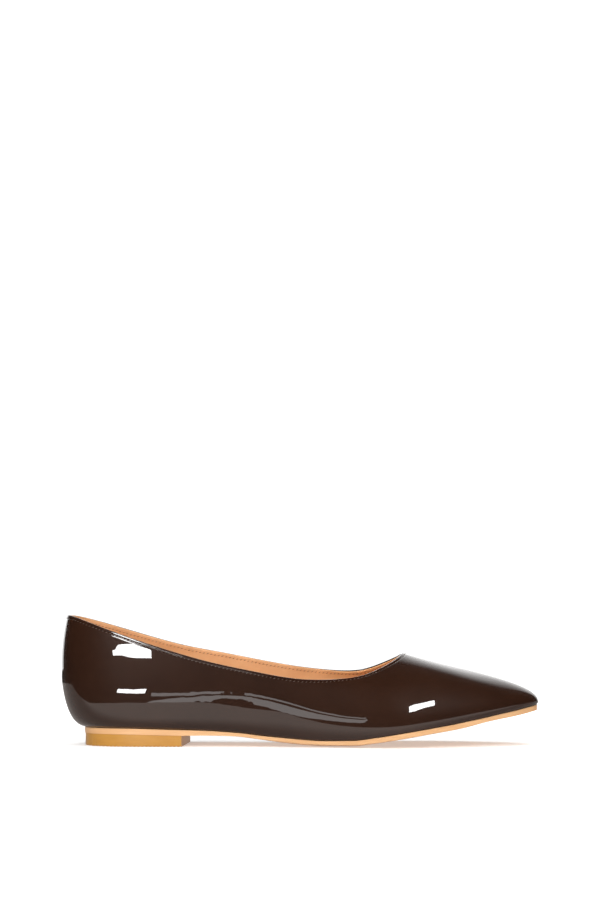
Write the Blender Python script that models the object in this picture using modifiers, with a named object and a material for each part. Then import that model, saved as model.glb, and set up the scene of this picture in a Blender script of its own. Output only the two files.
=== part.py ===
"""Pointed toe flat shoe for the right foot, standing empty on its sole.

The frame is in metres: +X runs to the toe, +Y to the inner (medial) side of
the foot and +Z up. The origin is the bottom centre of the shoe's box.
A maker's four pieces are built: a hollow leather upper, an insole inside it,
a thin outsole that rises to the toe, and a low heel block.
"""

import bisect
import math
from collections import namedtuple

import bmesh
import bpy
import numpy as np

# Driving sizes
LENGTH = 0.258
HEEL_WIDTH = 0.051
WAIST_WIDTH = 0.047
BALL_WIDTH = 0.0755
COLLAR_WIDTH = 0.057
BACK_HEIGHT = 0.0702
THROAT_HEIGHT = 0.0497
MEDIAL_RISE = 0.0055
HEEL_CUP = 0.0055
WALL = 0.0018
SOLE_THICKNESS = 0.0030
EDGE_LIFT = 0.0016
INSOLE_THICKNESS = 0.0016
HEEL_HEIGHT = 0.0067
HEEL_LENGTH = 0.0545
TOE_SPRING = 0.0189
GAP = 0.0003
EDGE_ROUND = 0.0006

# Mesh steps
STEPS_AROUND = 84
STEPS_UP = 14
SOLE_RUNGS = 44
HEEL_RUNGS = 16
SOLE_COLUMNS = 6
OUTLINE_STEPS = 240
WELD = 0.000002

LATERAL = -1
MEDIAL = 1

# Where the foot's three widths are measured, as shares of the length
FootWidth = namedtuple("FootWidth", "along width")
FOOT_WIDTHS = (
    FootWidth(0.19, HEEL_WIDTH),
    FootWidth(0.37, WAIST_WIDTH),
    FootWidth(0.70, BALL_WIDTH),
)

# The sole: its underside's height along the middle, as shares of the heel's
# height and the toe spring, its thickness, and how far its edges lift
Profile = namedtuple("Profile", "along heel spring thick lift")
SOLE_PROFILE = (
    Profile(0.00, 1.00, 0.000, 1.00, 0.00),
    Profile(0.15, 0.97, 0.000, 1.00, 0.00),
    Profile(0.25, 0.88, 0.000, 0.98, 0.00),
    Profile(0.31, 0.84, 0.000, 0.93, 0.18),
    Profile(0.37, 0.74, 0.000, 0.83, 0.40),
    Profile(0.42, 0.50, 0.000, 0.87, 0.55),
    Profile(0.47, 0.23, 0.000, 1.06, 0.80),
    Profile(0.52, 0.05, 0.000, 1.13, 0.94),
    Profile(0.55, 0.00, 0.000, 1.13, 1.00),
    Profile(0.61, 0.00, 0.000, 1.23, 1.00),
    Profile(0.65, 0.00, 0.065, 1.28, 0.94),
    Profile(0.71, 0.00, 0.195, 1.29, 0.88),
    Profile(0.77, 0.00, 0.333, 1.27, 0.81),
    Profile(0.83, 0.00, 0.476, 1.27, 0.69),
    Profile(0.89, 0.00, 0.682, 0.98, 0.44),
    Profile(0.95, 0.00, 0.841, 1.00, 0.19),
    Profile(1.00, 0.00, 1.000, 0.92, 0.00),
)

# Stations from the back of the heel to the tip of the toe.
# The feather line is where the upper meets the sole: along is a share of the
# length, lateral and medial are shares of the foot's width there. The topline
# is the edge of the opening: its widths are shares of the collar's width, and
# its height adds shares of the back and throat heights. The inner side also
# stands higher by a share of the medial rise.
Station = namedtuple(
    "Station",
    "along lateral medial top_along top_lateral top_medial back throat rise",
)
STATIONS = (
    Station(0.0500, 0.000, 0.000, 0.0135, 0.000, 0.000, 1.000, 0.000, 0.00),
    Station(0.0640, 0.245, 0.245, 0.0290, 0.215, 0.215, 0.987, 0.000, 0.07),
    Station(0.1085, 0.430, 0.430, 0.0780, 0.370, 0.370, 0.924, 0.000, 0.28),
    Station(0.1900, 0.500, 0.500, 0.1560, 0.445, 0.445, 0.820, 0.000, 0.53),
    Station(0.2750, 0.515, 0.495, 0.2400, 0.480, 0.470, 0.580, 0.197, 0.72),
    Station(0.3700, 0.535, 0.460, 0.3250, 0.498, 0.472, 0.450, 0.258, 1.04),
    Station(0.4600, 0.525, 0.410, 0.4100, 0.512, 0.474, 0.280, 0.405, 1.10),
    Station(0.5450, 0.518, 0.400, 0.4920, 0.524, 0.484, 0.130, 0.545, 1.09),
    Station(0.6280, 0.512, 0.440, 0.5660, 0.520, 0.497, 0.000, 0.719, 0.82),
    Station(0.7000, 0.497, 0.483, 0.6240, 0.474, 0.474, 0.000, 0.755, 0.52),
    Station(0.7700, 0.440, 0.492, 0.6660, 0.380, 0.404, 0.000, 0.838, 0.35),
    Station(0.8400, 0.350, 0.448, 0.6920, 0.268, 0.310, 0.000, 0.912, 0.21),
    Station(0.9070, 0.235, 0.362, 0.7055, 0.152, 0.204, 0.000, 0.965, 0.07),
    Station(0.9620, 0.098, 0.247, 0.7110, 0.052, 0.112, 0.000, 0.994, 0.01),
    Station(0.9965, -0.080, 0.080, 0.7120, -0.032, 0.032, 0.000, 1.000, 0.00),
)

# The wall's shape between feather line and topline, at some of the stations.
# Each wall is one Bezier curve of six points: the first and last are on those
# lines, and of the four between, in is the share of the way across to the
# topline, out the distance past the feather line in heel cups, and up the
# share of the wall's height.
Wall = namedtuple(
    "Wall",
    "station out_1 up_1 out_2 up_2 in_3 out_3 up_3 in_4 out_4 up_4",
)
WALLS = (
    Wall(0, 1.30, 0.015, 2.10, 0.140, 0.42, 2.04, 0.42, 0.75, 1.12, 0.75),
    Wall(3, 0.66, 0.030, 1.05, 0.170, 0.42, 1.09, 0.46, 0.72, 0.62, 0.75),
    Wall(5, 0.55, 0.040, 0.91, 0.210, 0.40, 0.82, 0.50, 0.72, 0.42, 0.77),
    Wall(7, 0.48, 0.050, 0.84, 0.240, 0.33, 0.78, 0.55, 0.68, 0.44, 0.80),
    Wall(9, 0.44, 0.065, 0.74, 0.260, 0.14, 0.55, 0.60, 0.52, 0.27, 0.86),
    Wall(11, 0.40, 0.080, 0.62, 0.270, 0.11, 0.15, 0.57, 0.52, 0.00, 0.85),
    Wall(13, 0.30, 0.085, 0.40, 0.290, 0.14, 0.00, 0.510, 0.62, 0.00, 0.755),
    Wall(14, 0.30, 0.080, 0.38, 0.290, 0.14, 0.00, 0.49, 0.65, 0.00, 0.727),
)

Finish = namedtuple("Finish", "name colour roughness")
PATENT = Finish("patent_leather", (0.032, 0.013, 0.008), 0.08)
LINING = Finish("insole_leather", (0.72, 0.38, 0.17), 0.6)
TAN_SOLE = Finish("tan_sole", (0.90, 0.60, 0.31), 0.5)
OCHRE_HEEL = Finish("ochre_heel", (0.72, 0.37, 0.08), 0.45)


def along_x(share):
    """The X of a share of the shoe's length, measured from the back."""
    return LENGTH * (share - 0.5)


def monotone_slopes(places, values):
    """Slopes at the points of a curve that never overshoots its points."""
    steps = np.diff(places)
    rises = np.diff(values) / steps
    slopes = np.zeros(len(places))
    slopes[0] = rises[0]
    slopes[-1] = rises[-1]
    for i in range(1, len(places) - 1):
        if rises[i - 1] * rises[i] > 0:
            near = 2 * steps[i] + steps[i - 1]
            far = steps[i] + 2 * steps[i - 1]
            slopes[i] = (near + far) / (near / rises[i - 1] + far / rises[i])
    return slopes


def monotone_curve(places, values):
    """A smooth function through the points that never overshoots them."""
    places = np.asarray(places, float)
    values = np.asarray(values, float)
    slopes = monotone_slopes(places, values)

    def at(place):
        place = min(max(place, places[0]), places[-1])
        i = min(bisect.bisect_right(places, place), len(places) - 1) - 1
        step = places[i + 1] - places[i]
        t = (place - places[i]) / step
        return (
            values[i] * (1 + 2 * t) * (1 - t) ** 2
            + slopes[i] * step * t * (1 - t) ** 2
            + values[i + 1] * t * t * (3 - 2 * t)
            + slopes[i + 1] * step * t * t * (t - 1)
        )

    return at


def closed_curve(places, period, points):
    """A function for the closed cubic curve through points at those places."""
    places = np.asarray(places, float)
    points = np.asarray(points, float)
    count = len(places)
    steps = np.diff(np.append(places, places[0] + period))
    system = np.zeros((count, count))
    sides = np.zeros(points.shape)
    for i in range(count):
        before = steps[i - 1]
        after = steps[i]
        following = (i + 1) % count
        system[i, i - 1] += before
        system[i, i] += 2 * (before + after)
        system[i, following] += after
        rise_after = (points[following] - points[i]) / after
        rise_before = (points[i] - points[i - 1]) / before
        sides[i] = 6 * (rise_after - rise_before)
    bends = np.linalg.solve(system, sides)

    def at(place):
        place = place % period
        i = bisect.bisect_right(places, place) - 1
        following = (i + 1) % count
        step = steps[i]
        t = (place - places[i]) / step
        s = 1 - t
        return (
            points[i] * s
            + points[following] * t
            + ((s ** 3 - s) * bends[i] + (t ** 3 - t) * bends[following]) * step * step / 6
        )

    return at


SOLE_SHARES = [row.along for row in SOLE_PROFILE]
SOLE_HEIGHTS = [row.heel * HEEL_HEIGHT + row.spring * TOE_SPRING for row in SOLE_PROFILE]
sole_height = monotone_curve(SOLE_SHARES, SOLE_HEIGHTS)
sole_thickness = monotone_curve(SOLE_SHARES, [row.thick * SOLE_THICKNESS for row in SOLE_PROFILE])
edge_lift = monotone_curve(SOLE_SHARES, [row.lift * EDGE_LIFT for row in SOLE_PROFILE])
foot_width = monotone_curve([row.along for row in FOOT_WIDTHS], [row.width for row in FOOT_WIDTHS])


def sole_bottom(x):
    return sole_height(x / LENGTH + 0.5)


def sole_top(x):
    return sole_bottom(x) + sole_thickness(x / LENGTH + 0.5)


def sole_underside(x, across):
    """The sole's lower face, flat in the middle third and lifted to its edges."""
    beyond = max(abs(2 * across - 1) - 1 / 3, 0) * 1.5
    return sole_bottom(x) + edge_lift(x / LENGTH + 0.5) * beyond ** 2


def sole_upside(x, across):
    return sole_top(x)


def insole_bottom(x, across):
    return sole_top(x) + GAP


def insole_top(x, across):
    return sole_top(x) + GAP + INSOLE_THICKNESS


def feather_point(station, side):
    width = foot_width(station.along)
    share = station.lateral if side == LATERAL else station.medial
    return along_x(station.along), side * share * width


def topline_point(station, side):
    share = station.top_lateral if side == LATERAL else station.top_medial
    height = station.back * BACK_HEIGHT + station.throat * THROAT_HEIGHT
    if side == MEDIAL:
        height += station.rise * MEDIAL_RISE
    return along_x(station.top_along), side * share * COLLAR_WIDTH, height


def station_places():
    """Each station's place along a side: the mean run of both feather lines."""
    places = [0.0]
    for here, following in zip(STATIONS, STATIONS[1:]):
        runs = [
            math.dist(feather_point(here, side), feather_point(following, side))
            for side in (LATERAL, MEDIAL)
        ]
        places.append(places[-1] + sum(runs) / 2)
    return places


PLACES = station_places()
HALF_LOOP = PLACES[-1]
LOOP = 2 * HALF_LOOP
LAST = len(STATIONS) - 1
# The loop of stations: back, lateral side, toe, medial side
LOOP_STATIONS = [(i, LATERAL) for i in range(LAST + 1)] + [(i, MEDIAL) for i in range(LAST - 1, 0, -1)]
LOOP_PLACES = [PLACES[i] if side == LATERAL else LOOP - PLACES[i] for i, side in LOOP_STATIONS]

feather = closed_curve(
    LOOP_PLACES, LOOP, [feather_point(STATIONS[i], side) for i, side in LOOP_STATIONS]
)


def outward(place):
    """The level direction that points out of the shoe at a place on the loop."""
    reach = LOOP / 2000
    run = feather(place + reach) - feather(place - reach)
    direction = np.array((run[1], -run[0]))
    return direction / np.linalg.norm(direction)


WALL_CURVES = {
    column: monotone_curve([row.station for row in WALLS], [getattr(row, column) for row in WALLS])
    for column in Wall._fields[1:]
}


def wall_points(index, side, place):
    """The six points of one station's wall curve, from feather line to topline."""
    station = STATIONS[index]
    foot = np.array(feather_point(station, side))
    top = np.array(topline_point(station, side))
    foot_height = sole_top(foot[0]) + GAP
    shape = {column: curve(index) for column, curve in WALL_CURVES.items()}
    out = outward(place) * HEEL_CUP

    def point(across, beyond, up):
        level = foot + (top[:2] - foot) * across + out * beyond
        return level[0], level[1], foot_height + (top[2] - foot_height) * up

    return (
        point(0, 0, 0),
        point(0, shape["out_1"], shape["up_1"]),
        point(0, shape["out_2"], shape["up_2"]),
        point(shape["in_3"], shape["out_3"], shape["up_3"]),
        point(shape["in_4"], shape["out_4"], shape["up_4"]),
        point(1, 0, 1),
    )


def upper_curves():
    """Six closed curves round the shoe, one through each wall point."""
    nets = [wall_points(i, side, place) for (i, side), place in zip(LOOP_STATIONS, LOOP_PLACES)]
    return [closed_curve(LOOP_PLACES, LOOP, [net[level] for net in nets]) for level in range(6)]


def bezier(points, t):
    degree = len(points) - 1
    total = np.zeros(3)
    for i, point in enumerate(points):
        total += math.comb(degree, i) * t ** i * (1 - t) ** (degree - i) * point
    return total


def make_material(finish):
    material = bpy.data.materials.new(finish.name)
    material.use_nodes = True
    shader = material.node_tree.nodes["Principled BSDF"]
    shader.inputs["Base Color"].default_value = (*finish.colour, 1)
    shader.inputs["Roughness"].default_value = finish.roughness
    shader.inputs["Metallic"].default_value = 0
    return material


def add_piece(name, bm, finish, collection):
    bmesh.ops.recalc_face_normals(bm, faces=bm.faces)
    mesh = bpy.data.meshes.new(name)
    bm.to_mesh(mesh)
    bm.free()
    mesh.materials.append(make_material(finish))
    mesh.shade_smooth()
    piece = bpy.data.objects.new(name, mesh)
    collection.objects.link(piece)
    return piece


def round_edges(piece, width):
    bevel = piece.modifiers.new("rounded edges", "BEVEL")
    bevel.width = width
    bevel.segments = 2
    bevel.limit_method = "ANGLE"
    bevel.angle_limit = math.radians(45)


def grid_faces(bm, rows, closed):
    """Quads between neighbouring rows of points, which a closed grid joins into a ring."""
    grid = [[bm.verts.new(point) for point in row] for row in rows]
    pairs = list(zip(grid, grid[1:]))
    if closed:
        pairs.append((grid[-1], grid[0]))
    for here, following in pairs:
        for level in range(len(here) - 1):
            bm.faces.new((here[level], following[level], following[level + 1], here[level + 1]))


def make_upper(collection):
    curves = upper_curves()
    rows = []
    for step in range(STEPS_AROUND):
        place = LOOP * step / STEPS_AROUND
        points = [curve(place) for curve in curves]
        rows.append([bezier(points, level / STEPS_UP) for level in range(STEPS_UP + 1)])
    bm = bmesh.new()
    grid_faces(bm, rows, closed=True)
    upper = add_piece("upper", bm, PATENT, collection)
    shell = upper.modifiers.new("leather wall", "SOLIDIFY")
    shell.thickness = WALL
    shell.offset = -1
    shell.use_even_offset = True
    return upper


def side_outline(side, inset):
    """X and Y of one side of the sole's outline, from the back to the toe."""
    points = []
    for step in range(OUTLINE_STEPS + 1):
        place = HALF_LOOP * step / OUTLINE_STEPS
        if side == MEDIAL:
            place = LOOP - place
        points.append(feather(place) - outward(place) * inset)
    points = np.array(points)
    return points[:, 0], points[:, 1]


def rung_shares(count, round_front):
    """Shares of the way along, closer together towards each round end."""
    if round_front:
        return [(1 - math.cos(math.pi * i / count)) / 2 for i in range(count + 1)]
    return [1 - math.cos(math.pi / 2 * i / count) for i in range(count + 1)]


def make_plate(name, finish, collection, inset, bottom, top, rungs, front=None):
    """A plate with the shoe's outline; front is the X of a straight front edge."""
    lateral_x, lateral_y = side_outline(LATERAL, inset)
    medial_x, medial_y = side_outline(MEDIAL, inset)
    start = lateral_x[0]
    end = lateral_x[-1] if front is None else front
    upper_side = []
    lower_side = []
    for rung in rung_shares(rungs, front is None):
        x = start + (end - start) * rung
        lateral = np.interp(x, lateral_x, lateral_y)
        medial = np.interp(x, medial_x, medial_y)
        across = [i / SOLE_COLUMNS for i in range(SOLE_COLUMNS + 1)]
        level = [(share, lateral + (medial - lateral) * share) for share in across]
        upper_side.append([(x, y, top(x, share)) for share, y in level])
        lower_side.append([(x, y, bottom(x, share)) for share, y in level])
    bm = bmesh.new()
    rows = [above + below[::-1] + above[:1] for above, below in zip(upper_side, lower_side)]
    grid_faces(bm, rows, closed=False)
    if front is not None:
        grid_faces(bm, [upper_side[-1], lower_side[-1]], closed=False)
    bmesh.ops.remove_doubles(bm, verts=bm.verts, dist=WELD)
    return add_piece(name, bm, finish, collection)


def make_outsole(collection):
    outsole = make_plate(
        "outsole", TAN_SOLE, collection, 0, sole_underside, sole_upside, SOLE_RUNGS
    )
    round_edges(outsole, EDGE_ROUND)
    return outsole


def make_insole(collection):
    return make_plate(
        "insole", LINING, collection, WALL + GAP, insole_bottom, insole_top, SOLE_RUNGS
    )


def heel_top(x, across):
    return sole_bottom(x) - GAP


def floor(x, across):
    return 0.0


def make_heel(collection):
    front = feather(0)[0] + HEEL_LENGTH
    heel = make_plate("heel", OCHRE_HEEL, collection, GAP, floor, heel_top, HEEL_RUNGS, front)
    round_edges(heel, EDGE_ROUND)
    return heel


def build():
    for old in list(bpy.data.objects):
        bpy.data.objects.remove(old)
    collection = bpy.data.collections.new("pointed_toe_flat_shoe")
    bpy.context.scene.collection.children.link(collection)
    make_upper(collection)
    make_insole(collection)
    make_outsole(collection)
    make_heel(collection)


build()
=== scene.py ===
"""Looks of the pointed toe flat shoe: patent upper, tan lining, thin sole and ochre heel.

The frame is in metres: +X runs to the toe, +Y to the inner side of the right
foot and +Z up, with the shoe standing on the floor at Z = 0.
"""

import bisect
import math
from collections import namedtuple

import bmesh
import bpy
import numpy as np
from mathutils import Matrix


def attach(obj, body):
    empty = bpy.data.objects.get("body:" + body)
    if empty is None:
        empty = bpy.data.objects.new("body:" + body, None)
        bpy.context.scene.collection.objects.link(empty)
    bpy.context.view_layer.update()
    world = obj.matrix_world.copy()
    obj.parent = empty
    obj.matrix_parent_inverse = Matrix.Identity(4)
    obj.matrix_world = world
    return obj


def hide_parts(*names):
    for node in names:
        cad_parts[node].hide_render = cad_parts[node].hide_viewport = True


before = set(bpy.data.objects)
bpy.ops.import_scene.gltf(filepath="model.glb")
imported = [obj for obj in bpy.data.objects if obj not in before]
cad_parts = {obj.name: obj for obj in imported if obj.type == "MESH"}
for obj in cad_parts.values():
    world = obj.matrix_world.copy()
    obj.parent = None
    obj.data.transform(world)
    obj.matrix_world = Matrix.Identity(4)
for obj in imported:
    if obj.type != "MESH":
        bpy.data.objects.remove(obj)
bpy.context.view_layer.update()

# The solids' own sizes
LENGTH = 0.258
HEEL_WIDTH = 0.051
WAIST_WIDTH = 0.047
BALL_WIDTH = 0.0755
COLLAR_WIDTH = 0.057
BACK_HEIGHT = 0.0702
THROAT_HEIGHT = 0.0497
MEDIAL_RISE = 0.0055
HEEL_CUP = 0.0055
WALL = 0.0018
SOLE_THICKNESS = 0.0030
EDGE_LIFT = 0.0016
INSOLE_THICKNESS = 0.0016
HEEL_HEIGHT = 0.0067
HEEL_LENGTH = 0.0545
TOE_SPRING = 0.0189
GAP = 0.0003

# Sizes of what is added here
PATENT_THICKNESS = 0.0011
TOPLINE_RADIUS = PATENT_THICKNESS / 2
LINING_DROP = 0.00025
STITCH_BELOW_EDGE = 0.0020
STITCH_PITCH = 0.0021
STITCH_LENGTH = 0.0015
STITCH_RADIUS = 0.00021
LINING_STITCH_BELOW_EDGE = 0.0024
CHANNEL_DEPTH = 0.00016
CHANNEL_WIDTH = 0.00040
TOPLINE_SWELL = 0.00012
SWELL_WIDTH = 0.0007
RELIEF_REACH = 0.008
# How far the skin's lower margin turns in under the wall, and its height above the sole
TUCK = ((0.0016, 0.00002), (0.0007, 0.00006), (0.0002, 0.00015))
# How far the edge turned over the topline runs down inside
FOLD_INSIDE = (0.001, 0.002, 0.0035)
LINING_EDGE_RISE = 0.00015
LINING_TUCK = 0.002
SOLE_EDGE_ROUND = 0.0006
SOCK_OVER_GAP = 0.0012
SOCK_LIFT = 0.0001
SOCK_CROWN = 0.0004
HEEL_SEAT_GAP = 0.00005
HEEL_EDGE_ROUND = 0.0004
RIB_PITCH = 0.0021
RIB_DEPTH = 0.0007
# Half of a groove's flat bottom with its slopes, and one slope, as shares of the pitch
GROOVE_HALF = 0.17
GROOVE_SLOPE = 0.05
GROOVE_PHASES = (0.32, 0.36, 0.64, 0.68)

# Mesh steps
AROUND = 560
UP = 60
LINING_AROUND = 360
LINING_UP = 40
# Above one, this draws the upper's rows closer together towards the sole
ROW_SPREAD = 1.15
ROW_MARGIN = 0.01
LINING_FOOT = 0.015
FOLD_STEPS = 8
STITCH_SAMPLES = 1200
STITCH_SIDES = 8
STITCH_RINGS = 7
STITCH_END = 0.02
OUTLINE_STEPS = 600

LATERAL = -1
MEDIAL = 1
FootWidth = namedtuple("FootWidth", "along width")
FOOT_WIDTHS = (
    FootWidth(0.19, HEEL_WIDTH),
    FootWidth(0.37, WAIST_WIDTH),
    FootWidth(0.70, BALL_WIDTH),
)

# The sole: its underside along the middle, its thickness and its edges' lift
Profile = namedtuple("Profile", "along heel spring thick lift")
SOLE_PROFILE = (
    Profile(0.00, 1.00, 0.000, 1.00, 0.00),
    Profile(0.15, 0.97, 0.000, 1.00, 0.00),
    Profile(0.25, 0.88, 0.000, 0.98, 0.00),
    Profile(0.31, 0.84, 0.000, 0.93, 0.18),
    Profile(0.37, 0.74, 0.000, 0.83, 0.40),
    Profile(0.42, 0.50, 0.000, 0.87, 0.55),
    Profile(0.47, 0.23, 0.000, 1.06, 0.80),
    Profile(0.52, 0.05, 0.000, 1.13, 0.94),
    Profile(0.55, 0.00, 0.000, 1.13, 1.00),
    Profile(0.61, 0.00, 0.000, 1.23, 1.00),
    Profile(0.65, 0.00, 0.065, 1.28, 0.94),
    Profile(0.71, 0.00, 0.195, 1.29, 0.88),
    Profile(0.77, 0.00, 0.333, 1.27, 0.81),
    Profile(0.83, 0.00, 0.476, 1.27, 0.69),
    Profile(0.89, 0.00, 0.682, 0.98, 0.44),
    Profile(0.95, 0.00, 0.841, 1.00, 0.19),
    Profile(1.00, 0.00, 1.000, 0.92, 0.00),
)

# Stations from the back of the heel to the tip of the toe, as shares
Station = namedtuple(
    "Station",
    "along lateral medial top_along top_lateral top_medial back throat rise",
)
STATIONS = (
    Station(0.0500, 0.000, 0.000, 0.0135, 0.000, 0.000, 1.000, 0.000, 0.00),
    Station(0.0640, 0.245, 0.245, 0.0290, 0.215, 0.215, 0.987, 0.000, 0.07),
    Station(0.1085, 0.430, 0.430, 0.0780, 0.370, 0.370, 0.924, 0.000, 0.28),
    Station(0.1900, 0.500, 0.500, 0.1560, 0.445, 0.445, 0.820, 0.000, 0.53),
    Station(0.2750, 0.515, 0.495, 0.2400, 0.480, 0.470, 0.580, 0.197, 0.72),
    Station(0.3700, 0.535, 0.460, 0.3250, 0.498, 0.472, 0.450, 0.258, 1.04),
    Station(0.4600, 0.525, 0.410, 0.4100, 0.512, 0.474, 0.280, 0.405, 1.10),
    Station(0.5450, 0.518, 0.400, 0.4920, 0.524, 0.484, 0.130, 0.545, 1.09),
    Station(0.6280, 0.512, 0.440, 0.5660, 0.520, 0.497, 0.000, 0.719, 0.82),
    Station(0.7000, 0.497, 0.483, 0.6240, 0.474, 0.474, 0.000, 0.755, 0.52),
    Station(0.7700, 0.440, 0.492, 0.6660, 0.380, 0.404, 0.000, 0.838, 0.35),
    Station(0.8400, 0.350, 0.448, 0.6920, 0.268, 0.310, 0.000, 0.912, 0.21),
    Station(0.9070, 0.235, 0.362, 0.7055, 0.152, 0.204, 0.000, 0.965, 0.07),
    Station(0.9620, 0.098, 0.247, 0.7110, 0.052, 0.112, 0.000, 0.994, 0.01),
    Station(0.9965, -0.080, 0.080, 0.7120, -0.032, 0.032, 0.000, 1.000, 0.00),
)

# The wall's Bezier curve between feather line and topline, at some stations
Wall = namedtuple(
    "Wall",
    "station out_1 up_1 out_2 up_2 in_3 out_3 up_3 in_4 out_4 up_4",
)
WALLS = (
    Wall(0, 1.30, 0.015, 2.10, 0.140, 0.42, 2.04, 0.42, 0.75, 1.12, 0.75),
    Wall(3, 0.66, 0.030, 1.05, 0.170, 0.42, 1.09, 0.46, 0.72, 0.62, 0.75),
    Wall(5, 0.55, 0.040, 0.91, 0.210, 0.40, 0.82, 0.50, 0.72, 0.42, 0.77),
    Wall(7, 0.48, 0.050, 0.84, 0.240, 0.33, 0.78, 0.55, 0.68, 0.44, 0.80),
    Wall(9, 0.44, 0.065, 0.74, 0.260, 0.14, 0.55, 0.60, 0.52, 0.27, 0.86),
    Wall(11, 0.40, 0.080, 0.62, 0.270, 0.11, 0.15, 0.57, 0.52, 0.00, 0.85),
    Wall(13, 0.30, 0.085, 0.40, 0.290, 0.14, 0.00, 0.510, 0.62, 0.00, 0.755),
    Wall(14, 0.30, 0.080, 0.38, 0.290, 0.14, 0.00, 0.49, 0.65, 0.00, 0.727),
)


def along_x(share):
    """The X of a share of the shoe's length, measured from the back."""
    return LENGTH * (share - 0.5)


def monotone_slopes(places, values):
    """Slopes at the points of a curve that never overshoots its points."""
    steps = np.diff(places)
    rises = np.diff(values) / steps
    slopes = np.zeros(len(places))
    slopes[0] = rises[0]
    slopes[-1] = rises[-1]
    for i in range(1, len(places) - 1):
        if rises[i - 1] * rises[i] > 0:
            near = 2 * steps[i] + steps[i - 1]
            far = steps[i] + 2 * steps[i - 1]
            slopes[i] = (near + far) / (near / rises[i - 1] + far / rises[i])
    return slopes


def monotone_curve(places, values):
    """A smooth function through the points that never overshoots them."""
    places = np.asarray(places, float)
    values = np.asarray(values, float)
    slopes = monotone_slopes(places, values)

    def at(place):
        place = min(max(place, places[0]), places[-1])
        i = min(bisect.bisect_right(places, place), len(places) - 1) - 1
        step = places[i + 1] - places[i]
        t = (place - places[i]) / step
        return (
            values[i] * (1 + 2 * t) * (1 - t) ** 2
            + slopes[i] * step * t * (1 - t) ** 2
            + values[i + 1] * t * t * (3 - 2 * t)
            + slopes[i + 1] * step * t * t * (t - 1)
        )

    return at


def closed_curve(places, period, points):
    """A function for the closed cubic curve through points at those places."""
    places = np.asarray(places, float)
    points = np.asarray(points, float)
    count = len(places)
    steps = np.diff(np.append(places, places[0] + period))
    system = np.zeros((count, count))
    sides = np.zeros(points.shape)
    for i in range(count):
        before = steps[i - 1]
        after = steps[i]
        following = (i + 1) % count
        system[i, i - 1] += before
        system[i, i] += 2 * (before + after)
        system[i, following] += after
        rise_after = (points[following] - points[i]) / after
        rise_before = (points[i] - points[i - 1]) / before
        sides[i] = 6 * (rise_after - rise_before)
    bends = np.linalg.solve(system, sides)

    def at(place):
        place = place % period
        i = bisect.bisect_right(places, place) - 1
        following = (i + 1) % count
        step = steps[i]
        t = (place - places[i]) / step
        s = 1 - t
        return (
            points[i] * s
            + points[following] * t
            + ((s ** 3 - s) * bends[i] + (t ** 3 - t) * bends[following]) * step * step / 6
        )

    return at


SOLE_SHARES = [row.along for row in SOLE_PROFILE]
SOLE_HEIGHTS = [row.heel * HEEL_HEIGHT + row.spring * TOE_SPRING for row in SOLE_PROFILE]
sole_height = monotone_curve(SOLE_SHARES, SOLE_HEIGHTS)
sole_thickness = monotone_curve(SOLE_SHARES, [row.thick * SOLE_THICKNESS for row in SOLE_PROFILE])
edge_lift = monotone_curve(SOLE_SHARES, [row.lift * EDGE_LIFT for row in SOLE_PROFILE])
foot_width = monotone_curve([row.along for row in FOOT_WIDTHS], [row.width for row in FOOT_WIDTHS])


def sole_bottom(x):
    return sole_height(x / LENGTH + 0.5)


def sole_top(x):
    return sole_bottom(x) + sole_thickness(x / LENGTH + 0.5)


def sole_underside(x, across):
    """The sole's lower face, flat in the middle third and lifted to its edges."""
    beyond = max(abs(2 * across - 1) - 1 / 3, 0) * 1.5
    return sole_bottom(x) + edge_lift(x / LENGTH + 0.5) * beyond ** 2


def feather_point(station, side):
    width = foot_width(station.along)
    share = station.lateral if side == LATERAL else station.medial
    return along_x(station.along), side * share * width


def topline_point(station, side):
    share = station.top_lateral if side == LATERAL else station.top_medial
    height = station.back * BACK_HEIGHT + station.throat * THROAT_HEIGHT
    if side == MEDIAL:
        height += station.rise * MEDIAL_RISE
    return along_x(station.top_along), side * share * COLLAR_WIDTH, height


def station_places():
    """Each station's place along a side: the mean run of both feather lines."""
    places = [0.0]
    for here, following in zip(STATIONS, STATIONS[1:]):
        runs = [
            math.dist(feather_point(here, side), feather_point(following, side))
            for side in (LATERAL, MEDIAL)
        ]
        places.append(places[-1] + sum(runs) / 2)
    return places


PLACES = station_places()
HALF_LOOP = PLACES[-1]
LOOP = 2 * HALF_LOOP
LAST = len(STATIONS) - 1
LOOP_STATIONS = [(i, LATERAL) for i in range(LAST + 1)]
LOOP_STATIONS += [(i, MEDIAL) for i in range(LAST - 1, 0, -1)]
LOOP_PLACES = [PLACES[i] if side == LATERAL else LOOP - PLACES[i] for i, side in LOOP_STATIONS]

feather = closed_curve(
    LOOP_PLACES, LOOP, [feather_point(STATIONS[i], side) for i, side in LOOP_STATIONS]
)


def outward(place):
    """The level direction that points out of the shoe at a place on the loop."""
    reach = LOOP / 2000
    run = feather(place + reach) - feather(place - reach)
    direction = np.array((run[1], -run[0]))
    return direction / np.linalg.norm(direction)


WALL_CURVES = {
    column: monotone_curve([row.station for row in WALLS], [getattr(row, column) for row in WALLS])
    for column in Wall._fields[1:]
}


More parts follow.
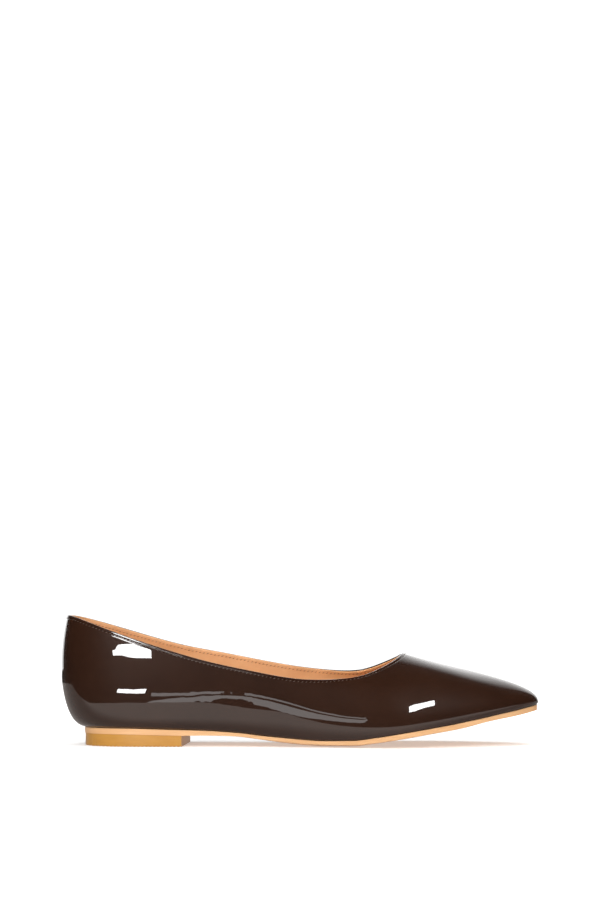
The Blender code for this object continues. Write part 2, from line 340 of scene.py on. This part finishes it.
def wall_points(index, side, place):
    """The six points of one station's wall curve, from feather line to topline."""
    station = STATIONS[index]
    foot = np.array(feather_point(station, side))
    top = np.array(topline_point(station, side))
    foot_height = sole_top(foot[0]) + GAP
    shape = {column: curve(index) for column, curve in WALL_CURVES.items()}
    out = outward(place) * HEEL_CUP

    def point(across, beyond, up):
        level = foot + (top[:2] - foot) * across + out * beyond
        return level[0], level[1], foot_height + (top[2] - foot_height) * up

    return (
        point(0, 0, 0),
        point(0, shape["out_1"], shape["up_1"]),
        point(0, shape["out_2"], shape["up_2"]),
        point(shape["in_3"], shape["out_3"], shape["up_3"]),
        point(shape["in_4"], shape["out_4"], shape["up_4"]),
        point(1, 0, 1),
    )


NETS = [wall_points(i, side, place) for (i, side), place in zip(LOOP_STATIONS, LOOP_PLACES)]
WALL_LINES = [closed_curve(LOOP_PLACES, LOOP, [net[level] for net in NETS]) for level in range(6)]


def wall_grid(places, heights):
    """Points of the outer wall: a row for each place round the shoe."""
    nets = np.array([[line(place) for line in WALL_LINES] for place in places])
    t = np.asarray(heights, float)[:, None]
    weights = np.concatenate(
        [math.comb(5, i) * t ** i * (1 - t) ** (5 - i) for i in range(6)], axis=1
    )
    return np.einsum("hk,pkc->phc", weights, nets)


def grid_normals(places, heights):
    """Outward unit normals of the wall at those places and heights."""
    reach = LOOP / 4000
    lift = 1e-4
    places = np.asarray(places, float)
    heights = np.asarray(heights, float)
    along = wall_grid(places + reach, heights) - wall_grid(places - reach, heights)
    above = np.minimum(heights + lift, 1)
    below = np.maximum(heights - lift, 0)
    up = wall_grid(places, above) - wall_grid(places, below)
    normal = np.cross(along, up)
    return normal / np.linalg.norm(normal, axis=2, keepdims=True)


# Mesh tools
def new_mesh_object(name, vertices, faces, smooth=True):
    mesh = bpy.data.meshes.new(name)
    mesh.from_pydata([tuple(v) for v in vertices], [], faces)
    mesh.validate()
    mesh.update()
    if smooth:
        mesh.shade_smooth()
    piece = bpy.data.objects.new(name, mesh)
    bpy.context.scene.collection.objects.link(piece)
    return piece


def ring_grid_object(name, rows):
    """A surface through rows of points, one row for each place round the loop."""
    rows = np.asarray(rows)
    around, up = rows.shape[:2]
    faces = []
    for i in range(around):
        j = (i + 1) % around
        for k in range(up - 1):
            faces.append((i * up + k, j * up + k, j * up + k + 1, i * up + k + 1))
    return new_mesh_object(name, rows.reshape(-1, 3), faces)


def finish_piece(piece, node, material):
    piece.data.materials.clear()
    piece.data.materials.append(material)
    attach(piece, "root")
    if node:
        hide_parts(node)
    return piece


# Materials
def principled(name, colour, roughness, coat=0.0, coat_roughness=0.03, specular=0.5):
    material = bpy.data.materials.new(name)
    material.use_nodes = True
    shader = material.node_tree.nodes["Principled BSDF"]
    shader.inputs["Base Color"].default_value = (*colour, 1)
    shader.inputs["Roughness"].default_value = roughness
    shader.inputs["Specular IOR Level"].default_value = specular
    shader.inputs["Coat Weight"].default_value = coat
    shader.inputs["Coat Roughness"].default_value = coat_roughness
    return material, shader


def add_noise(material, scale, detail=4.0, stretch=(1, 1, 1)):
    """A noise over the object's own coordinates; scale is per metre."""
    nodes = material.node_tree.nodes
    links = material.node_tree.links
    coordinates = nodes.new("ShaderNodeTexCoord")
    mapping = nodes.new("ShaderNodeMapping")
    mapping.inputs["Scale"].default_value = stretch
    noise = nodes.new("ShaderNodeTexNoise")
    noise.inputs["Scale"].default_value = scale
    noise.inputs["Detail"].default_value = detail
    links.new(coordinates.outputs["Object"], mapping.inputs["Vector"])
    links.new(mapping.outputs["Vector"], noise.inputs["Vector"])
    return noise


def vary_colour(material, shader, factor, dark, light, low=0.35, high=0.65):
    nodes = material.node_tree.nodes
    links = material.node_tree.links
    ramp = nodes.new("ShaderNodeValToRGB")
    ramp.color_ramp.elements[0].position = low
    ramp.color_ramp.elements[0].color = (*dark, 1)
    ramp.color_ramp.elements[1].position = high
    ramp.color_ramp.elements[1].color = (*light, 1)
    links.new(factor, ramp.inputs["Fac"])
    links.new(ramp.outputs["Color"], shader.inputs["Base Color"])


def vary_roughness(material, shader, factor, low, high):
    nodes = material.node_tree.nodes
    links = material.node_tree.links
    spread = nodes.new("ShaderNodeMapRange")
    spread.inputs["To Min"].default_value = low
    spread.inputs["To Max"].default_value = high
    links.new(factor, spread.inputs["Value"])
    links.new(spread.outputs["Result"], shader.inputs["Roughness"])


def add_bump(material, shader, factor, strength, distance, sockets=("Normal",), before=None):
    nodes = material.node_tree.nodes
    links = material.node_tree.links
    bump = nodes.new("ShaderNodeBump")
    bump.inputs["Strength"].default_value = strength
    bump.inputs["Distance"].default_value = distance
    links.new(factor, bump.inputs["Height"])
    if before is not None:
        links.new(before.outputs["Normal"], bump.inputs["Normal"])
    for socket in sockets:
        links.new(bump.outputs["Normal"], shader.inputs[socket])
    return bump


def make_patent():
    material, shader = principled(
        "dark brown patent leather", (0.0195, 0.0073, 0.0038), 0.5, coat=1.0, coat_roughness=0.012,
        specular=0.08
    )
    shader.inputs["Coat IOR"].default_value = 1.5
    cloud = add_noise(material, 26, 3)
    vary_colour(
        material, shader, cloud.outputs["Fac"], (0.0190, 0.0066, 0.0030), (0.0240, 0.0088, 0.0042)
    )
    ripple = add_noise(material, 75, 2)
    add_bump(material, shader, ripple.outputs["Fac"], 0.10, 0.0004, ("Coat Normal",))
    grain = add_noise(material, 2600, 3)
    add_bump(material, shader, grain.outputs["Fac"], 0.25, 0.0001)
    return material


def make_lining(name, colour_dark, colour_light):
    material, shader = principled(name, colour_light, 0.55, specular=0.35)
    cloud = add_noise(material, 60, 4)
    vary_colour(material, shader, cloud.outputs["Fac"], colour_dark, colour_light)
    pores = add_noise(material, 2200, 5)
    vary_roughness(material, shader, pores.outputs["Fac"], 0.45, 0.7)
    add_bump(material, shader, pores.outputs["Fac"], 0.35, 0.00015)
    return material


def make_sole_edge():
    material, shader = principled("light tan sole", (0.66, 0.38, 0.17), 0.42, specular=0.4)
    layers = add_noise(material, 140, 4, (0.25, 0.25, 3.0))
    vary_colour(
        material, shader, layers.outputs["Fac"], (0.63, 0.345, 0.155), (0.70, 0.405, 0.195)
    )
    fibres = add_noise(material, 1500, 4, (1, 1, 2.2))
    add_bump(material, shader, fibres.outputs["Fac"], 0.25, 0.00012)
    return material


def make_heel_material():
    material, shader = principled("ochre heel", (0.66, 0.33, 0.075), 0.38, specular=0.45)
    streaks = add_noise(material, 120, 4, (1, 1, 4))
    vary_colour(
        material, shader, streaks.outputs["Fac"], (0.46, 0.215, 0.034), (0.50, 0.24, 0.040)
    )
    fine = add_noise(material, 1800, 3)
    add_bump(material, shader, fine.outputs["Fac"], 0.2, 0.0001)
    return material


def make_thread(name, colour):
    material, shader = principled(name, colour, 0.4, specular=0.6)
    twist = add_noise(material, 4000, 2, (1, 1, 0.3))
    add_bump(material, shader, twist.outputs["Fac"], 0.5, 0.0001)
    return material


# The upper
def below_edge(places, distance):
    """The height on the wall that lies a distance below the topline, at each place."""
    ends = wall_grid(places, (0.999, 1.0))
    run = np.linalg.norm(ends[:, 1] - ends[:, 0], axis=1) / 0.001
    return 1 - distance / run


def surface_at(places, heights):
    """Points, normals and upward directions at one height for each place."""
    points = []
    normals = []
    ups = []
    for place, height in zip(places, heights):
        points.append(wall_grid([place], [height])[0, 0])
        normals.append(grid_normals([place], [height])[0, 0])
        rise = wall_grid([place], [min(height + 1e-3, 1)]) - wall_grid([place], [height - 1e-3])
        ups.append(rise[0, 0] / np.linalg.norm(rise[0, 0]))
    return np.array(points), np.array(normals), np.array(ups)


def edge_relief(distance):
    """How far the skin stands out, at a distance below the topline."""
    channel = -CHANNEL_DEPTH * np.exp(-((distance - STITCH_BELOW_EDGE) / CHANNEL_WIDTH) ** 2)
    swell = TOPLINE_SWELL * np.exp(-((distance - STITCH_BELOW_EDGE * 0.5) / SWELL_WIDTH) ** 2)
    return channel + swell


# Soft creases of the skin, as troughs from one point to another in X and Z on
# one side, with the ridge beside each: the lengths are in metres
Crease = namedtuple("Crease", "side x_1 z_1 x_2 z_2 width depth")
CREASES = (
    Crease(LATERAL, -0.064, 0.0300, -0.050, 0.0290, 0.0030, 0.00003),
    Crease(LATERAL, -0.044, 0.0370, -0.016, 0.0350, 0.0034, 0.00008),
    Crease(LATERAL, 0.006, 0.0300, 0.032, 0.0240, 0.0040, 0.00008),
    Crease(LATERAL, 0.028, 0.0320, 0.044, 0.0200, 0.0038, 0.00016),
    Crease(LATERAL, 0.046, 0.0240, 0.074, 0.0300, 0.0036, 0.00016),
    Crease(LATERAL, 0.078, 0.0265, 0.100, 0.0280, 0.0034, 0.00012),
    Crease(LATERAL, -0.104, 0.0440, -0.084, 0.0400, 0.0034, 0.00012),
    Crease(MEDIAL, -0.020, 0.0300, 0.012, 0.0240, 0.0040, 0.00018),
    Crease(MEDIAL, 0.026, 0.0300, 0.046, 0.0200, 0.0038, 0.00018),
    Crease(MEDIAL, 0.050, 0.0250, 0.076, 0.0300, 0.0036, 0.00014),
)
# The ridge's height as a share of the trough's depth, and its offset in widths
RIDGE_SHARE = 0.7
RIDGE_OFFSET = 1.6


def crease_relief(points):
    """How far the skin stands out at points of the wall, from the creases alone."""
    relief = np.zeros(len(points))
    for crease in CREASES:
        start = np.array((crease.x_1, crease.z_1))
        run = np.array((crease.x_2, crease.z_2)) - start
        length = np.linalg.norm(run)
        offset = points[:, (0, 2)] - start
        along = offset @ run / length
        across = (offset[:, 1] * run[0] - offset[:, 0] * run[1]) / length
        fade = np.clip(along / length, 0, 1)
        fade = np.sin(math.pi * fade) ** 2
        same_side = points[:, 1] * crease.side > 0
        trough = -np.exp(-((across / crease.width) ** 2))
        beside = across - RIDGE_OFFSET * crease.width
        ridge = RIDGE_SHARE * np.exp(-((beside / crease.width) ** 2))
        relief += np.where(same_side, crease.depth * fade * (trough + ridge), 0)
    return relief


# Distances below the topline where the wall needs close rows
EDGE_ROWS = [0.0050, 0.0042, 0.0036] + [0.0032 - 0.0002 * i for i in range(14)]


def feather_tuck(foot, place):
    """The skin's lower margin, turned in on the sole."""
    inward = -outward(place)
    ground = sole_top(foot[0])
    return [
        (foot[0] + inward[0] * reach, foot[1] + inward[1] * reach, ground + lift)
        for reach, lift in TUCK
    ]


def topline_fold(tip, normal, up):
    """The edge turned over the topline, and a little way down inside."""
    fold = []
    for step in range(1, FOLD_STEPS + 1):
        angle = math.pi * step / FOLD_STEPS
        fold.append(
            tip
            - normal * TOPLINE_RADIUS * (1 - math.cos(angle))
            + up * TOPLINE_RADIUS * math.sin(angle)
        )
    return fold + [fold[-1] - up * depth for depth in FOLD_INSIDE]


def make_upper(material):
    places = np.arange(AROUND) * LOOP / AROUND
    spread = np.linspace(0, 1, UP) ** ROW_SPREAD
    close_start = below_edge(places, EDGE_ROWS[0])
    edge = below_edge(places, TOPLINE_RADIUS)
    rows = []
    for i, place in enumerate(places):
        run = (1 - edge[i]) / TOPLINE_RADIUS
        lower = list(spread * (close_start[i] - ROW_MARGIN))
        close = [1 - run * distance for distance in EDGE_ROWS if distance > TOPLINE_RADIUS]
        heights = np.array(lower + close + [edge[i]])
        points = wall_grid([place], heights)[0]
        normals = grid_normals([place], heights)[0]
        distances = (1 - heights) / run
        relief = np.where(distances < RELIEF_REACH, edge_relief(distances), 0)
        relief = relief + crease_relief(points)
        skin = points + normals * relief[:, None]
        up = points[-1] - points[-2]
        up = up / np.linalg.norm(up)
        fold = topline_fold(points[-1], normals[-1], up)
        rows.append(feather_tuck(points[0], place) + list(skin) + fold)
    upper = ring_grid_object("patent_upper", rows)
    return finish_piece(upper, "upper", material)


def make_lining_piece(material):
    places = np.arange(LINING_AROUND) * LOOP / LINING_AROUND
    top = below_edge(places, LINING_DROP)
    rows = []
    for i, place in enumerate(places):
        heights = np.linspace(LINING_FOOT, top[i], LINING_UP)
        points = wall_grid([place], heights)[0]
        normals = grid_normals([place], heights)[0]
        inner = points - normals * WALL
        brim = points[-1] - normals[-1] * PATENT_THICKNESS
        middle = (brim + inner[-1]) / 2
        up = points[-1] - points[-2]
        up = up / np.linalg.norm(up)
        edge = [
            inner[-1] + (middle - inner[-1]) * 0.4 + up * LINING_EDGE_RISE,
            brim + up * LINING_EDGE_RISE,
            brim - up * LINING_TUCK,
        ]
        rows.append(list(inner) + edge)
    lining = ring_grid_object("lining", rows)
    for polygon in lining.data.polygons:
        polygon.flip()
    return finish_piece(lining, None, material)


def stitch_places(below):
    """Places round the loop at an even stitch pitch, a distance below the topline."""
    dense = np.arange(STITCH_SAMPLES) * LOOP / STITCH_SAMPLES
    heights = below_edge(dense, below)
    line = np.array([wall_grid([p], [h])[0, 0] for p, h in zip(dense, heights)])
    runs = np.linalg.norm(np.diff(np.vstack((line, line[:1])), axis=0), axis=1)
    length = runs.sum()
    count = int(round(length / STITCH_PITCH))
    lengths = np.concatenate(([0], np.cumsum(runs)))
    middles = (np.arange(count) + 0.5) * length / count
    return np.interp(middles, lengths, np.append(dense, LOOP))


def add_stitch(vertices, faces, middle, normal, up, sink):
    """One rounded stitch; sink is how far its ends dip below its middle."""
    along = np.cross(up, normal)
    along = along / np.linalg.norm(along)
    base = len(vertices)
    for ring in range(STITCH_RINGS):
        share = -1 + 2 * ring / (STITCH_RINGS - 1)
        radius = STITCH_RADIUS * math.sqrt(max(1 - share ** 4, STITCH_END))
        centre = middle + along * share * STITCH_LENGTH / 2 - normal * sink * share * share
        for side in range(STITCH_SIDES):
            angle = 2 * math.pi * side / STITCH_SIDES
            vertices.append(centre + (up * math.cos(angle) + normal * math.sin(angle)) * radius)
    for ring in range(STITCH_RINGS - 1):
        a = base + ring * STITCH_SIDES
        b = a + STITCH_SIDES
        for side in range(STITCH_SIDES):
            following = (side + 1) % STITCH_SIDES
            faces.append((a + side, a + following, b + following, b + side))
    last = base + (STITCH_RINGS - 1) * STITCH_SIDES
    faces.append(tuple(base + side for side in range(STITCH_SIDES - 1, -1, -1)))
    faces.append(tuple(last + side for side in range(STITCH_SIDES)))


def stitch_rows(name, below, offset, sink, material):
    """A run of stitches a set distance below the topline, as one mesh."""
    places = stitch_places(below)
    centres, normals, ups = surface_at(places, below_edge(places, below))
    vertices = []
    faces = []
    for centre, normal, up in zip(centres, normals, ups):
        add_stitch(vertices, faces, centre + normal * offset, normal, up, sink)
    stitches = new_mesh_object(name, vertices, faces)
    return finish_piece(stitches, None, material)


# Sole, insole and heel
def side_outline(side, inset):
    """X and Y of one side of the sole's outline, from the back to the toe."""
    points = []
    for step in range(OUTLINE_STEPS + 1):
        place = HALF_LOOP * step / OUTLINE_STEPS
        if side == MEDIAL:
            place = LOOP - place
        points.append(feather(place) - outward(place) * inset)
    points = np.array(points)
    return points[:, 0], points[:, 1]


def plate(name, inset, bottom, top, shares, columns, front=None):
    """A plate with the shoe's outline; front is the X of a straight front edge."""
    lateral_x, lateral_y = side_outline(LATERAL, inset)
    medial_x, medial_y = side_outline(MEDIAL, inset)
    start = lateral_x[0]
    end = lateral_x[-1] if front is None else front
    bm = bmesh.new()
    rows = []
    across = [i / columns for i in range(columns + 1)]
    for rung in shares:
        x = start + (end - start) * rung
        lateral = np.interp(x, lateral_x, lateral_y)
        medial = np.interp(x, medial_x, medial_y)
        level = [(share, lateral + (medial - lateral) * share) for share in across]
        above = [(x, y, top(x, share)) for share, y in level]
        below = [(x, y, bottom(x, share)) for share, y in level]
        rows.append([bm.verts.new(p) for p in above + below[::-1]])
    for here, following in zip(rows, rows[1:]):
        for k in range(len(here)):
            n = (k + 1) % len(here)
            bm.faces.new((here[k], following[k], following[n], here[n]))
    if front is not None:
        last = rows[-1]
        for k in range(columns):
            bm.faces.new((last[k], last[k + 1], last[-2 - k], last[-1 - k]))
    bmesh.ops.remove_doubles(bm, verts=bm.verts, dist=2e-6)
    bmesh.ops.recalc_face_normals(bm, faces=bm.faces)
    mesh = bpy.data.meshes.new(name)
    bm.to_mesh(mesh)
    bm.free()
    mesh.shade_smooth()
    piece = bpy.data.objects.new(name, mesh)
    bpy.context.scene.collection.objects.link(piece)
    return piece


def round_edges(piece, width, segments=3):
    bevel = piece.modifiers.new("rounded edges", "BEVEL")
    bevel.width = width
    bevel.segments = segments
    bevel.limit_method = "ANGLE"
    bevel.angle_limit = math.radians(50)
    bevel.harden_normals = True


def round_shares(count, both=True):
    if both:
        return [(1 - math.cos(math.pi * i / count)) / 2 for i in range(count + 1)]
    return [1 - math.cos(math.pi / 2 * i / count) for i in range(count + 1)]


def make_outsole(material):
    sole = plate(
        "sole_plate", 0, sole_underside, lambda x, across: sole_top(x), round_shares(150), 12
    )
    round_edges(sole, SOLE_EDGE_ROUND)
    return finish_piece(sole, "outsole", material)


def make_insole(material):
    def underside(x, across):
        return sole_top(x) + SOCK_LIFT

    def crown(x, across):
        """The sock stands a little higher along its middle."""
        return sole_top(x) + GAP + INSOLE_THICKNESS + SOCK_CROWN * math.sin(math.pi * across)

    insole = plate("sock", WALL - SOCK_OVER_GAP, underside, crown, round_shares(120), 16)
    return finish_piece(insole, "insole", material)


def make_heel(material):
    front = feather(0)[0] + HEEL_LENGTH
    start = feather(0)[0] + GAP
    length = front - start

    def underside(x, across):
        """Flat ribs with narrow grooves between them."""
        phase = ((x - start) / RIB_PITCH) % 1
        depth = (GROOVE_HALF - abs(phase - 0.5)) / GROOVE_SLOPE
        return RIB_DEPTH * min(max(depth, 0), 1)

    def seat(x, across):
        return sole_bottom(x) - HEEL_SEAT_GAP

    shares = set(round(s, 6) for s in round_shares(60, both=False))
    for i in range(int(length / RIB_PITCH) + 1):
        for phase in GROOVE_PHASES:
            share = (i + phase) * RIB_PITCH / length
            if 0 < share < 1:
                shares.add(round(share, 6))
    heel = plate("heel_block", GAP, underside, seat, sorted(shares), 8, front)
    round_edges(heel, HEEL_EDGE_ROUND, 2)
    return finish_piece(heel, "heel", material)


# Stage, lights and camera
FLOOR_REACH = 5.0
FLOOR_NEAR_GLOW = 0.36
FLOOR_FAR_GLOW = 1.15
FLOOR_GLOW_FROM = 0.22
FLOOR_GLOW_TO = 0.75
DOME_RADIUS = 7.0
BACK_CARD_Y = 1.6
BACK_CARD_HALF = 1.7
BACK_CARD_FADE_FROM = 0.5
BACK_CARD_TOP = 2.9
BACK_CARD_GLOW = 2.0

# X and Y of the lit paper round the shoe that its gloss shows
PAPER_EDGE = (
    (-0.450, 1.200),
    (-0.450, 0.050),
    (-0.190, -0.060),
    (-0.130, -0.215),
    (-0.090, -0.258),
    (-0.066, -0.200),
    (-0.042, -0.124),
    (-0.020, -0.091),
    (0.020, -0.071),
    (0.100, -0.069),
    (0.172, -0.085),
    (0.900, -0.120),
    (0.900, 1.200),
)
PAPER_GLOW = 1.30
PAPER_TINT = (1.0, 0.93, 0.88)
PAPER_SHADE_FROM = -0.060
PAPER_SHADE_TO = -0.030
PAPER_SHADE = 0.35

# Lit cards in front of the shoe, each an outline in X and Z on a plane of one Y
Card = namedtuple("Card", "name y glow outline")
CARDS = (
    Card("left_softbox", -0.20, 30.0, (
        (-0.166, 0.115), (-0.130, 0.123), (-0.100, 0.114), (-0.104, 0.135),
        (-0.116, 0.153), (-0.140, 0.148), (-0.152, 0.138), (-0.166, 0.133),
    )),
    Card("left_softbox_top", -0.20, 30.0, (
        (-0.160, 0.182), (-0.118, 0.158), (-0.104, 0.160), (-0.100, 0.300), (-0.135, 0.260),
    )),
    Card("left_bar", -0.20, 30.0, (
        (-0.166, 0.027), (-0.099, 0.034), (-0.098, 0.045), (-0.158, 0.038),
    )),
    Card("right_softbox", -0.20, 30.0, (
        (0.141, 0.106), (0.167, 0.122), (0.229, 0.195), (0.254, 0.299), (0.186, 0.230),
        (0.154, 0.181),
    )),
    Card("grey_sheet_near", -0.36, 2.9, (
        (-0.107, 0.024), (-0.085, 0.018), (-0.076, 0.024), (-0.075, 0.037), (-0.084, 0.030),
        (-0.107, 0.041),
    )),
    Card("grey_sheet_far", -0.36, 2.9, (
        (-0.074, 0.018), (-0.078, 0.016), (-0.084, 0.008), (-0.094, 0.004), (-0.103, 0.000),
        (-0.114, -0.010), (-0.116, -0.060), (-0.103, -0.045), (-0.094, -0.036), (-0.083, -0.024),
        (-0.079, -0.004), (-0.075, 0.004),
    )),
)


def glow_material(name, strength, albedo=0.0, tint=(1, 1, 1)):
    material, shader = principled(name, (albedo, albedo, albedo), 0.95, specular=0.0)
    shader.inputs["Emission Color"].default_value = (*tint, 1)
    shader.inputs["Emission Strength"].default_value = strength
    return material, shader


def vary_glow(material, shader, output, low, high, glow_low, glow_high):
    """Drives the glow by one of the object's own coordinates, or by their length as Value."""
    nodes = material.node_tree.nodes
    links = material.node_tree.links
    coordinates = nodes.new("ShaderNodeTexCoord")
    if output == "Value":
        split = nodes.new("ShaderNodeVectorMath")
        split.operation = "LENGTH"
    else:
        split = nodes.new("ShaderNodeSeparateXYZ")
    spread = nodes.new("ShaderNodeMapRange")
    spread.interpolation_type = "SMOOTHSTEP"
    spread.inputs["From Min"].default_value = low
    spread.inputs["From Max"].default_value = high
    spread.inputs["To Min"].default_value = glow_low
    spread.inputs["To Max"].default_value = glow_high
    links.new(coordinates.outputs["Object"], split.inputs[0])
    links.new(split.outputs[output], spread.inputs["Value"])
    links.new(spread.outputs["Result"], shader.inputs["Emission Strength"])


def flat_sheet(name, corners, material):
    sheet = new_mesh_object(name, corners, [tuple(range(len(corners)))], smooth=False)
    sheet.data.materials.append(material)
    return sheet


def only_reflected(sheet):
    sheet.visible_camera = False
    sheet.visible_diffuse = False
    sheet.visible_shadow = False


def make_floor():
    """White paper that glows: weakly near the shoe, where it takes the lamps' soft shadows, and
    more strongly away from it, so that it is plain white far away.
    """
    material, shader = glow_material("glowing pale paper", FLOOR_NEAR_GLOW, 0.8)
    vary_glow(
        material, shader, "Value", FLOOR_GLOW_FROM, FLOOR_GLOW_TO, FLOOR_NEAR_GLOW, FLOOR_FAR_GLOW
    )
    far = FLOOR_REACH
    corners = ((-far, -far, 0), (far, -far, 0), (far, far, 0), (-far, far, 0))
    floor = flat_sheet("floor", corners, material)
    floor.visible_glossy = False


def make_reflected_paper():
    material, shader = glow_material("lit paper", PAPER_GLOW, tint=PAPER_TINT)
    vary_glow(
        material, shader, "Y", PAPER_SHADE_FROM, PAPER_SHADE_TO, PAPER_GLOW,
        PAPER_GLOW * PAPER_SHADE
    )
    only_reflected(flat_sheet("lit_paper", [(x, y, 0) for x, y in PAPER_EDGE], material))


def make_dome():
    """A white surround that only the camera sees."""
    bm = bmesh.new()
    bmesh.ops.create_uvsphere(bm, u_segments=48, v_segments=24, radius=DOME_RADIUS)
    mesh = bpy.data.meshes.new("white_surround")
    bm.to_mesh(mesh)
    bm.free()
    dome = bpy.data.objects.new("white_surround", mesh)
    bpy.context.scene.collection.objects.link(dome)
    material, _ = glow_material("white surround", FLOOR_FAR_GLOW)
    mesh.materials.append(material)
    dome.visible_glossy = False
    dome.visible_diffuse = False
    dome.visible_transmission = False
    dome.visible_shadow = False


def make_back_card():
    """The pale wall behind that the top of the toe reflects, fading upwards."""
    material, shader = glow_material("back wall glow", BACK_CARD_GLOW)
    vary_glow(material, shader, "Z", BACK_CARD_FADE_FROM, BACK_CARD_TOP, BACK_CARD_GLOW, 0.0)
    y = BACK_CARD_Y
    half = BACK_CARD_HALF
    top = BACK_CARD_TOP
    corners = ((-half, y, 0), (half, y, 0), (half, y, top), (-half, y, top))
    only_reflected(flat_sheet("back_card", corners, material))


def make_cards():
    for card in CARDS:
        material, _ = glow_material(card.name, card.glow)
        corners = [(x, card.y, z) for x, z in card.outline]
        only_reflected(flat_sheet(card.name, corners, material))


Light = namedtuple("Light", "name place aim width height power")
LIGHTS = (
    Light("overhead fill", (0.0, 0.05, 1.30), (0.0, 0.0, 0.0), 1.4, 1.2, 19.0),
    Light("front fill", (-0.15, -1.35, 0.75), (0.0, 0.0, 0.04), 1.1, 0.8, 23.0),
)


def aim(thing, place, target):
    direction = np.array(target) - np.array(place)
    yaw = math.atan2(direction[1], direction[0])
    flat = math.hypot(direction[0], direction[1])
    pitch = math.atan2(direction[2], flat)
    thing.location = place
    thing.rotation_euler = (math.pi / 2 + pitch, 0, yaw - math.pi / 2)


def make_lights():
    """Large soft lights that the gloss doesn't show, which is left to the cards."""
    for row in LIGHTS:
        data = bpy.data.lights.new(row.name, "AREA")
        data.shape = "RECTANGLE"
        data.size = row.width
        data.size_y = row.height
        data.energy = row.power
        light = bpy.data.objects.new(row.name, data)
        light.visible_glossy = False
        light.visible_camera = False
        bpy.context.scene.collection.objects.link(light)
        aim(light, row.place, row.aim)


FRAME_HEIGHT_PX = 900
METRES_PER_PIXEL = 0.000539
# Rows of the picture where the shoe's origin stands and where the camera aims
ORIGIN_ROW_PX = 744.5
AXIS_ROW_PX = 683
CAMERA_DISTANCE = 0.85
CAMERA_ELEVATION = 1.0
CAMERA_YAW = 1.5
SENSOR = 0.036


def make_camera():
    data = bpy.data.cameras.new("camera")
    data.sensor_width = SENSOR * 1000
    span = FRAME_HEIGHT_PX * METRES_PER_PIXEL
    data.lens = data.sensor_width * CAMERA_DISTANCE / span
    data.shift_y = (AXIS_ROW_PX - FRAME_HEIGHT_PX / 2) / FRAME_HEIGHT_PX
    data.clip_start = 0.01
    camera = bpy.data.objects.new("camera", data)
    bpy.context.scene.collection.objects.link(camera)
    target = np.array((0, 0, (ORIGIN_ROW_PX - AXIS_ROW_PX) * METRES_PER_PIXEL))
    yaw = math.radians(CAMERA_YAW)
    rise = math.radians(CAMERA_ELEVATION)
    offset = np.array(
        (math.sin(yaw) * math.cos(rise), -math.cos(yaw) * math.cos(rise), math.sin(rise))
    )
    aim(camera, tuple(target + offset * CAMERA_DISTANCE), tuple(target))
    bpy.context.scene.camera = camera


def make_world():
    world = bpy.data.worlds.new("studio")
    world.use_nodes = True
    background = world.node_tree.nodes["Background"]
    background.inputs["Color"].default_value = (1, 1, 1, 1)
    background.inputs["Strength"].default_value = 0.006
    bpy.context.scene.world = world
    bpy.context.scene.view_settings.view_transform = "Standard"


patent = make_patent()
lining_leather = make_lining("tan lining leather", (0.60, 0.30, 0.13), (0.70, 0.375, 0.175))
thread = make_thread("dark thread", (0.05, 0.025, 0.016))
tan_thread = make_thread("tan thread", (0.30, 0.13, 0.05))

make_upper(patent)
make_lining_piece(lining_leather)
stitch_rows(
    "topline_stitches", STITCH_BELOW_EDGE, STITCH_RADIUS * 0.35 - CHANNEL_DEPTH, 0.00022,
    thread
)
stitch_rows(
    "lining_stitches", LINING_STITCH_BELOW_EDGE, -WALL - STITCH_RADIUS * 0.3, -0.00022,
    tan_thread
)
make_outsole(make_sole_edge())
make_insole(make_lining("tan sock leather", (0.62, 0.32, 0.145), (0.72, 0.40, 0.19)))
make_heel(make_heel_material())
make_floor()
make_reflected_paper()
make_dome()
make_back_card()
make_cards()
make_lights()
make_world()
make_camera()
